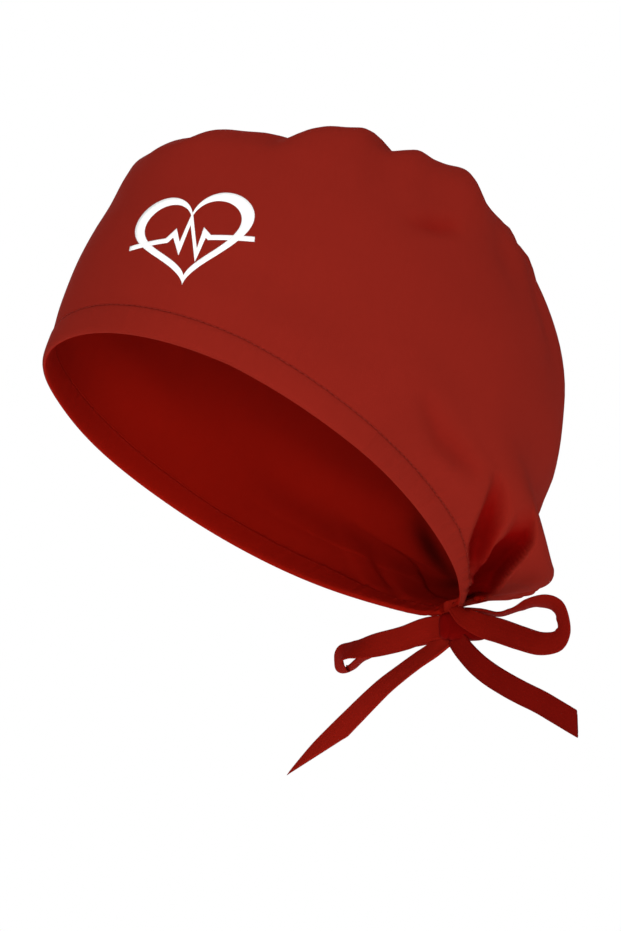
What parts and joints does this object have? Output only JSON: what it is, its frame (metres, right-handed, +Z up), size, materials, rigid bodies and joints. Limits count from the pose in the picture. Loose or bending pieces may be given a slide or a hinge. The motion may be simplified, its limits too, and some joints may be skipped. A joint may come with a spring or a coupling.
{
  "type": "scrub cap",
  "caption": "Pixie-style cloth scrub cap with a gathered nape pouch, a stitched hem casing and a tape tied in a bow behind the nape.",
  "frame": {"origin": "middle of the head opening, where the cap sits on a head", "axes": "+Z up as worn, -Y towards the wearer's face, +X towards the wearer's left"},
  "size_m": [0.1705, 0.2239, 0.2507],
  "materials": {
    "cap_cloth": "matte plain-woven cotton, brick red",
    "tie_tape": "matte folded cotton tape, brick red"
  },
  "bodies": {
    "root": {"crown": "cap_cloth", "casing_band": "cap_cloth", "tie_knot": "tie_tape", "tie_loop_left": "tie_tape", "tie_loop_right": "tie_tape", "tie_tail_left": "tie_tape", "tie_tail_right": "tie_tape"}
  },
  "joints": []
}
